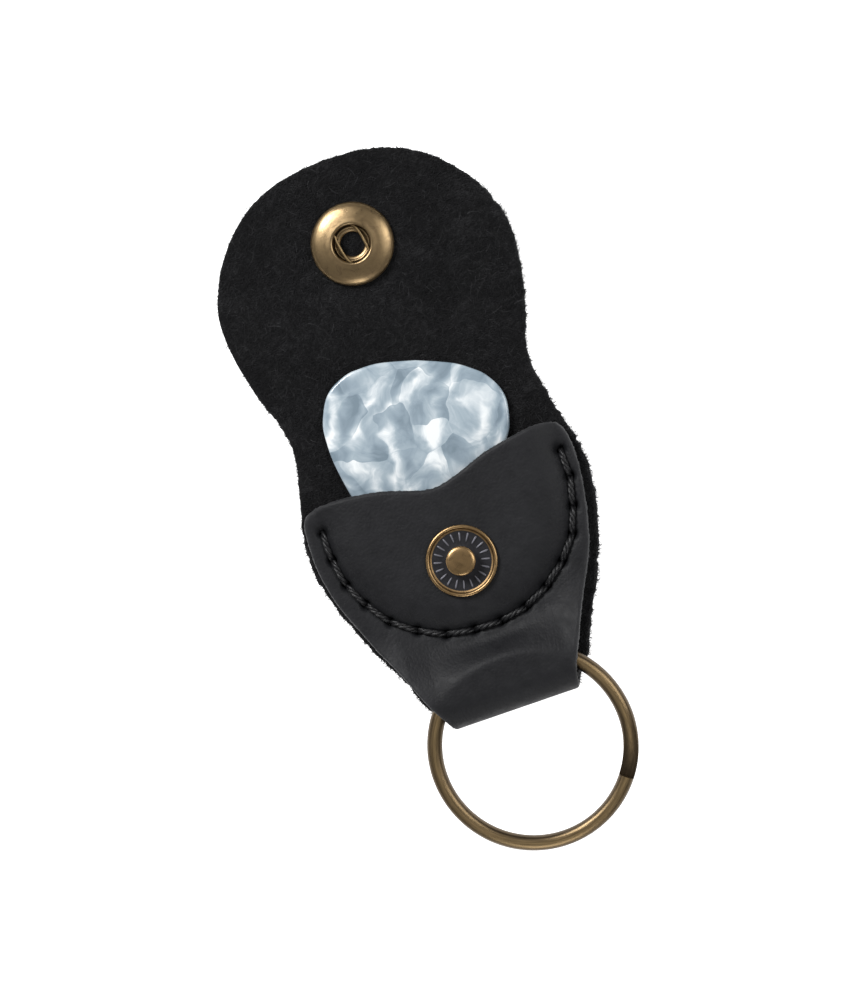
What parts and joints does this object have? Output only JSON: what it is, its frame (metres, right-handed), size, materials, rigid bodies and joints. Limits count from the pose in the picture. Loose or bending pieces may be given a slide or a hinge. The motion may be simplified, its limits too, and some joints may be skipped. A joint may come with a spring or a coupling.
{
  "type": "pick holder",
  "caption": "Leather guitar pick holder on a split key ring: stitched pocket with a scooped edge, fold-over flap with a ring snap, and one pearloid pick.",
  "frame": {"origin": "on the flat rear face of the leather, straight under the centre of the pocket's snap stud", "axes": "+Z out of the pocket's face, +Y along the strap towards the open flap, +X to the right as the pocket is seen"},
  "size_m": [0.044, 0.1034, 0.0079],
  "materials": {
    "leather_flesh": "napped suede side, matt",
    "leather_grain": "smooth oiled grain, satin",
    "thread": "waxed twisted thread",
    "antique_brass": "antiqued, brushed",
    "spring_wire": "drawn wire",
    "ring_metal": "antiqued plating, satin",
    "pearloid": "polished pearl celluloid"
  },
  "bodies": {
    "holder": {"back_panel": "leather_flesh", "ring_loop": "leather_grain", "pocket_front": "leather_grain", "seam_thread": "thread", "snap_stud": "antique_brass", "snap_post": "antique_brass"},
    "flap": {"hinge_strip_lower": "leather_flesh", "hinge_strip_upper": "leather_flesh", "flap_root": "leather_flesh", "flap": "leather_flesh", "snap_cap": "antique_brass", "snap_socket": "antique_brass", "snap_spring": "spring_wire"},
    "pick": {"pick": "pearloid"},
    "key_ring": {"key_ring": "ring_metal"}
  },
  "joints": [
    {"name": "flap_fold", "type": "hinge", "parent": "holder", "child": "flap", "pos_m": [0, 0.02378, 0.00515], "axis": [1, 0, 0], "range_deg": [-3, 177], "deforming": ["hinge_strip_lower", "hinge_strip_upper", "flap_root", "snap_spring"]},
    {"name": "pick_slide", "type": "slide", "parent": "holder", "child": "pick", "axis": [0.353, -0.9356, 0], "range_m": [-0.00019, 0.01041]},
    {"name": "ring_turn", "type": "hinge", "parent": "holder", "child": "key_ring", "pos_m": [0.0005, -0.02804, 0.00254], "axis": [0, -0.0985, 0.9951], "continuous": true}
  ],
  "couplings": [
    {"joint": "pick_slide", "follows": "flap_fold", "m_per_rad": 0.0033665}
  ]
}
